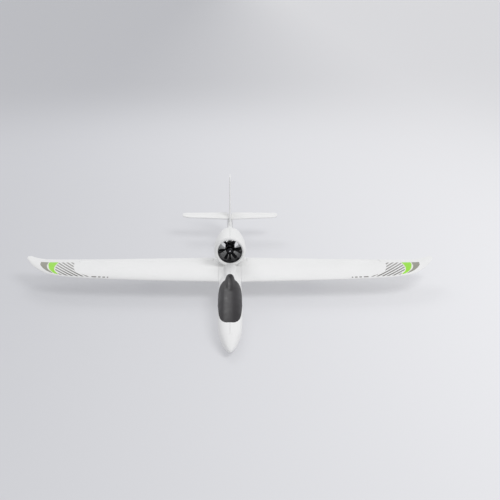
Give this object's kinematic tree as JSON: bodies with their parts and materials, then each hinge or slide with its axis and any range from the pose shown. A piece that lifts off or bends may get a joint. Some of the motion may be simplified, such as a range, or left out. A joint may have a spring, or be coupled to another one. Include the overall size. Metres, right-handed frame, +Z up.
{
  "type": "rc jet plane",
  "caption": "Radio-controlled foam glider pushed by a ducted fan in a round pod above the wing, with a black hatch, long curved-tip wing, slim tail boom and working control surfaces.",
  "frame": {"origin": "on the ground under the middle of the airframe's length and span, at the underside of the belly skid", "axes": "+Z up, nose towards -Y, +X towards the aircraft's left wing tip"},
  "size_m": [1.16, 0.864, 0.201],
  "materials": {
    "white_foam": "matte",
    "hatch_black": "satin",
    "black_plastic": "satin",
    "grey_plastic": "satin",
    "white_plastic": "satin",
    "carbon": "satin",
    "steel": "satin",
    "servo_case": "gloss",
    "battery_wrap": "gloss",
    "strap_fabric": "matte",
    "plywood": "matte"
  },
  "bodies": {
    "airframe": {"fuselage_left_half": "white_foam", "fuselage_right_half": "white_foam", "battery_pack": "battery_wrap", "battery_strap": "strap_fabric", "battery_tray": "plywood", "belly_skid": "grey_plastic", "elevator_servo": "servo_case", "fan_housing": "black_plastic", "fuselage_magnet": "steel", "horizontal_stabilizer": "white_foam", "left_aileron_servo": "servo_case", "motor": "steel", "motor_tail_cone": "black_plastic", "nacelle_left_shell": "white_foam", "nacelle_right_shell": "white_foam", "nose_cap": "white_foam", "receiver": "grey_plastic", "right_aileron_servo": "servo_case", "rudder_servo": "servo_case", "speed_controller": "black_plastic", "stabilizer_spar": "carbon", "thrust_tube": "grey_plastic", "vertical_fin": "white_foam", "wing_left": "white_foam", "wing_rear_pin": "carbon", "wing_right": "white_foam", "wing_spar_tube": "carbon"},
    "canopy": {"canopy_hatch": "hatch_black", "canopy_tongue": "plywood", "canopy_magnet": "steel"},
    "fan": {"fan_rotor": "black_plastic", "spinner": "black_plastic", "spinner_screw": "steel", "motor_shaft": "steel"},
    "left_aileron_surface": {"left_aileron": "white_foam", "left_aileron_horn": "black_plastic"},
    "right_aileron_surface": {"right_aileron": "white_foam", "right_aileron_horn": "black_plastic"},
    "elevator_surfaces": {"elevator_left_half": "white_foam", "elevator_right_half": "white_foam", "elevator_joiner": "steel", "elevator_horn": "black_plastic"},
    "rudder_surface": {"rudder": "white_foam", "rudder_horn": "black_plastic"},
    "elevator_arm": {"elevator_servo_arm": "white_plastic"},
    "elevator_rod": {"elevator_pushrod": "steel", "elevator_clevis": "black_plastic"},
    "rudder_arm": {"rudder_servo_arm": "white_plastic"},
    "rudder_rod": {"rudder_pushrod": "steel", "rudder_clevis": "black_plastic"},
    "left_aileron_arm": {"left_aileron_servo_arm": "white_plastic"},
    "left_aileron_rod": {"left_aileron_pushrod": "steel", "left_aileron_clevis": "black_plastic"},
    "right_aileron_arm": {"right_aileron_servo_arm": "white_plastic"},
    "right_aileron_rod": {"right_aileron_pushrod": "steel", "right_aileron_clevis": "black_plastic"}
  },
  "joints": [
    {"name": "canopy_tilt", "type": "hinge", "parent": "airframe", "child": "canopy", "pos_m": [0, -0.346, 0.049], "axis": [1, 0, 0], "range_deg": [0, 40]},
    {"name": "fan_spin", "type": "hinge", "parent": "airframe", "child": "fan", "pos_m": [0, -0.051, 0.112], "axis": [0, 0.9976, -0.0698], "continuous": true},
    {"name": "left_aileron_hinge", "type": "hinge", "parent": "airframe", "child": "left_aileron_surface", "pos_m": [0.2, 0.00614, 0.05661], "axis": [0.9989, -0.0457, 0.013], "range_deg": [-25, 25]},
    {"name": "right_aileron_hinge", "type": "hinge", "parent": "airframe", "child": "right_aileron_surface", "pos_m": [-0.2, 0.00614, 0.05661], "axis": [0.9989, 0.0457, -0.013], "range_deg": [-25, 25]},
    {"name": "elevator_hinge", "type": "hinge", "parent": "airframe", "child": "elevator_surfaces", "pos_m": [0, 0.3586, 0.078], "axis": [1, 0, 0], "range_deg": [-20, 20]},
    {"name": "rudder_hinge", "type": "hinge", "parent": "airframe", "child": "rudder_surface", "pos_m": [0, 0.386, 0.062], "axis": [0, 0, 1], "range_deg": [-25, 25]},
    {"name": "elevator_servo_turn", "type": "hinge", "parent": "airframe", "child": "elevator_arm", "pos_m": [-0.0036, -0.178, 0.039], "axis": [1, 0, 0], "range_deg": [-20, 20]},
    {"name": "elevator_rod_pivot", "type": "hinge", "parent": "elevator_arm", "child": "elevator_rod", "pos_m": [-0.0036, -0.178, 0.03], "axis": [1, 0, 0], "range_deg": [-20, 20]},
    {"name": "rudder_servo_turn", "type": "hinge", "parent": "airframe", "child": "rudder_arm", "pos_m": [-0.014, -0.146, 0.0426], "axis": [0, 0, 1], "range_deg": [-25, 25]},
    {"name": "rudder_rod_pivot", "type": "hinge", "parent": "rudder_arm", "child": "rudder_rod", "pos_m": [-0.004, -0.146, 0.0426], "axis": [0, 0, 1], "range_deg": [-25, 25]},
    {"name": "left_aileron_servo_turn", "type": "hinge", "parent": "airframe", "child": "left_aileron_arm", "pos_m": [0.20001, -0.0477, 0.05391], "axis": [0.9989, -0.0457, 0.013], "range_deg": [-25, 25]},
    {"name": "left_aileron_rod_pivot", "type": "hinge", "parent": "left_aileron_arm", "child": "left_aileron_rod", "pos_m": [0.20001, -0.0477, 0.04391], "axis": [0.9989, -0.0457, 0.013], "range_deg": [-25, 25]},
    {"name": "right_aileron_servo_turn", "type": "hinge", "parent": "airframe", "child": "right_aileron_arm", "pos_m": [-0.20001, -0.0477, 0.05391], "axis": [0.9989, 0.0457, -0.013], "range_deg": [-25, 25]},
    {"name": "right_aileron_rod_pivot", "type": "hinge", "parent": "right_aileron_arm", "child": "right_aileron_rod", "pos_m": [-0.20001, -0.0477, 0.04391], "axis": [0.9989, 0.0457, -0.013], "range_deg": [-25, 25]}
  ],
  "couplings": [
    {"joint": "right_aileron_hinge", "follows": "left_aileron_hinge", "ratio": -1},
    {"joint": "left_aileron_servo_turn", "follows": "left_aileron_hinge", "ratio": 1},
    {"joint": "left_aileron_rod_pivot", "follows": "left_aileron_hinge", "ratio": -1},
    {"joint": "right_aileron_servo_turn", "follows": "left_aileron_hinge", "ratio": -1},
    {"joint": "right_aileron_rod_pivot", "follows": "left_aileron_hinge", "ratio": 1},
    {"joint": "elevator_servo_turn", "follows": "elevator_hinge", "ratio": 1},
    {"joint": "elevator_rod_pivot", "follows": "elevator_hinge", "ratio": -1},
    {"joint": "rudder_servo_turn", "follows": "rudder_hinge", "ratio": 1},
    {"joint": "rudder_rod_pivot", "follows": "rudder_hinge", "ratio": -1}
  ]
}
